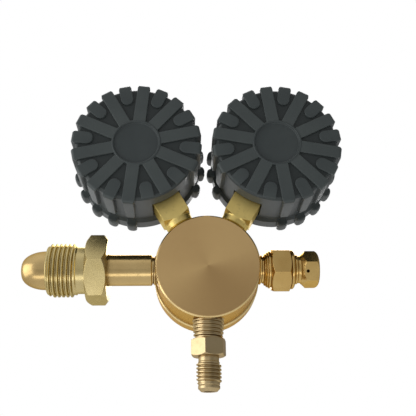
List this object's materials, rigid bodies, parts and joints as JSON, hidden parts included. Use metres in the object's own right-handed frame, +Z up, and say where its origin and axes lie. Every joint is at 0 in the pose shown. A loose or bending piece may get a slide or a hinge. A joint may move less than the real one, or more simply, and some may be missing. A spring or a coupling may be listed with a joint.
{
  "type": "nitrogen pressure regulator",
  "caption": "Compact brass gas pressure regulator with rubber-booted gauges, inlet nipple with a loose nut, flare outlet, relief valve and cross-bar adjusting screw.",
  "frame": {"origin": "centre of the body's flat back face", "axes": "+Z up towards the gauges, +Y out of the back face, dials and handle face -Y, +X along the inlet nipple"},
  "size_m": [0.1512, 0.0862, 0.1454],
  "materials": {
    "brass": "turned and milled, satin",
    "boot_rubber": "moulded, matte",
    "spring_steel": "drawn wire",
    "bar_steel": "plated",
    "case_steel": "semi-gloss",
    "lens_plastic": "clear, gloss",
    "dial_white": "printed, matte",
    "pointer_black": "matte",
    "diaphragm_rubber": "matte",
    "filter_bronze": "sintered, rough",
    "seat_plastic": "matte"
  },
  "bodies": {
    "core": {"regulator_body": "brass", "bonnet": "brass", "seat_nozzle": "brass", "inlet_nipple": "brass", "outlet_fitting": "brass", "relief_body": "brass", "relief_cap": "brass", "main_spring": "spring_steel", "poppet_spring": "spring_steel", "relief_spring": "spring_steel", "diaphragm": "diaphragm_rubber", "inlet_filter": "filter_bronze", "cylinder_gauge_stem": "brass", "cylinder_gauge_bourdon_tube": "brass", "cylinder_gauge_movement_frame": "brass", "cylinder_gauge_case": "case_steel", "cylinder_gauge_lens": "lens_plastic", "cylinder_gauge_dial": "dial_white", "cylinder_gauge_boot": "boot_rubber", "delivery_gauge_stem": "brass", "delivery_gauge_bourdon_tube": "brass", "delivery_gauge_movement_frame": "brass", "delivery_gauge_case": "case_steel", "delivery_gauge_lens": "lens_plastic", "delivery_gauge_dial": "dial_white", "delivery_gauge_boot": "boot_rubber"},
    "inlet_nut": {"inlet_nut": "brass"},
    "spring_button": {"spring_button": "bar_steel"},
    "screw": {"adjusting_screw": "brass", "handle_bar": "bar_steel"},
    "diaphragm_plate": {"diaphragm_plate": "bar_steel"},
    "valve_poppet": {"valve_poppet": "seat_plastic"},
    "relief_poppet": {"relief_poppet": "brass"},
    "cylinder_gauge_pointer": {"cylinder_gauge_pointer": "pointer_black", "cylinder_gauge_arbor": "brass"},
    "cylinder_gauge_sector": {"cylinder_gauge_sector": "brass"},
    "cylinder_gauge_link": {"cylinder_gauge_link": "brass"},
    "delivery_gauge_pointer": {"delivery_gauge_pointer": "pointer_black", "delivery_gauge_arbor": "brass"},
    "delivery_gauge_sector": {"delivery_gauge_sector": "brass"},
    "delivery_gauge_link": {"delivery_gauge_link": "brass"}
  },
  "joints": [
    {"name": "inlet_nut_spin", "type": "hinge", "parent": "core", "child": "inlet_nut", "pos_m": [0.055, -0.0085, 0], "axis": [1, 0, 0], "continuous": true},
    {"name": "adjusting_slide", "type": "slide", "parent": "core", "child": "spring_button", "axis": [0, 1, 0], "range_m": [0, 0.006], "deforming": ["main_spring"]},
    {"name": "adjusting_turn", "type": "hinge", "parent": "spring_button", "child": "screw", "pos_m": [0, -0.06, 0], "axis": [0, 1, 0], "range_deg": [0, 1360]},
    {"name": "diaphragm_push", "type": "slide", "parent": "core", "child": "diaphragm_plate", "axis": [0, 1, 0], "range_m": [0, 0.0006], "stiffness_N_per_m": 300, "deforming": ["diaphragm"]},
    {"name": "valve_lift", "type": "slide", "parent": "core", "child": "valve_poppet", "axis": [0, 1, 0], "range_m": [0, 0.0006], "deforming": ["poppet_spring"]},
    {"name": "relief_lift", "type": "slide", "parent": "core", "child": "relief_poppet", "axis": [-1, 0, 0], "range_m": [0, 0.0015], "stiffness_N_per_m": 200, "deforming": ["relief_spring"]},
    {"name": "cylinder_gauge_reading", "type": "hinge", "parent": "core", "child": "cylinder_gauge_pointer", "pos_m": [0.03315, -0.0085, 0.05742], "axis": [0, 1, 0], "range_deg": [0, 270], "stiffness_Nm_per_rad": 0.0002},
    {"name": "cylinder_gauge_sector_turn", "type": "hinge", "parent": "core", "child": "cylinder_gauge_sector", "pos_m": [0.0264, -0.0085, 0.04573], "axis": [0, 1, 0], "range_deg": [-33.75, 0], "deforming": ["cylinder_gauge_bourdon_tube"]},
    {"name": "cylinder_gauge_link_turn", "type": "hinge", "parent": "cylinder_gauge_sector", "child": "cylinder_gauge_link", "pos_m": [0.02466, -0.0085, 0.03998], "axis": [0, 1, 0], "range_deg": [0, 33.75]},
    {"name": "delivery_gauge_reading", "type": "hinge", "parent": "core", "child": "delivery_gauge_pointer", "pos_m": [-0.03315, -0.0085, 0.05742], "axis": [0, 1, 0], "range_deg": [0, 270], "stiffness_Nm_per_rad": 0.0002},
    {"name": "delivery_gauge_sector_turn", "type": "hinge", "parent": "core", "child": "delivery_gauge_sector", "pos_m": [-0.0264, -0.0085, 0.04573], "axis": [0, 1, 0], "range_deg": [-33.75, 0], "deforming": ["delivery_gauge_bourdon_tube"]},
    {"name": "delivery_gauge_link_turn", "type": "hinge", "parent": "delivery_gauge_sector", "child": "delivery_gauge_link", "pos_m": [-0.0223, -0.0085, 0.04135], "axis": [0, 1, 0], "range_deg": [0, 33.75]}
  ],
  "couplings": [
    {"joint": "adjusting_slide", "follows": "adjusting_turn", "m_per_rad": 0.00025266},
    {"joint": "valve_lift", "follows": "diaphragm_push", "ratio": 1},
    {"joint": "cylinder_gauge_sector_turn", "follows": "cylinder_gauge_reading", "ratio": -0.125},
    {"joint": "cylinder_gauge_link_turn", "follows": "cylinder_gauge_reading", "ratio": 0.125},
    {"joint": "delivery_gauge_sector_turn", "follows": "delivery_gauge_reading", "ratio": -0.125},
    {"joint": "delivery_gauge_link_turn", "follows": "delivery_gauge_reading", "ratio": 0.125}
  ]
}
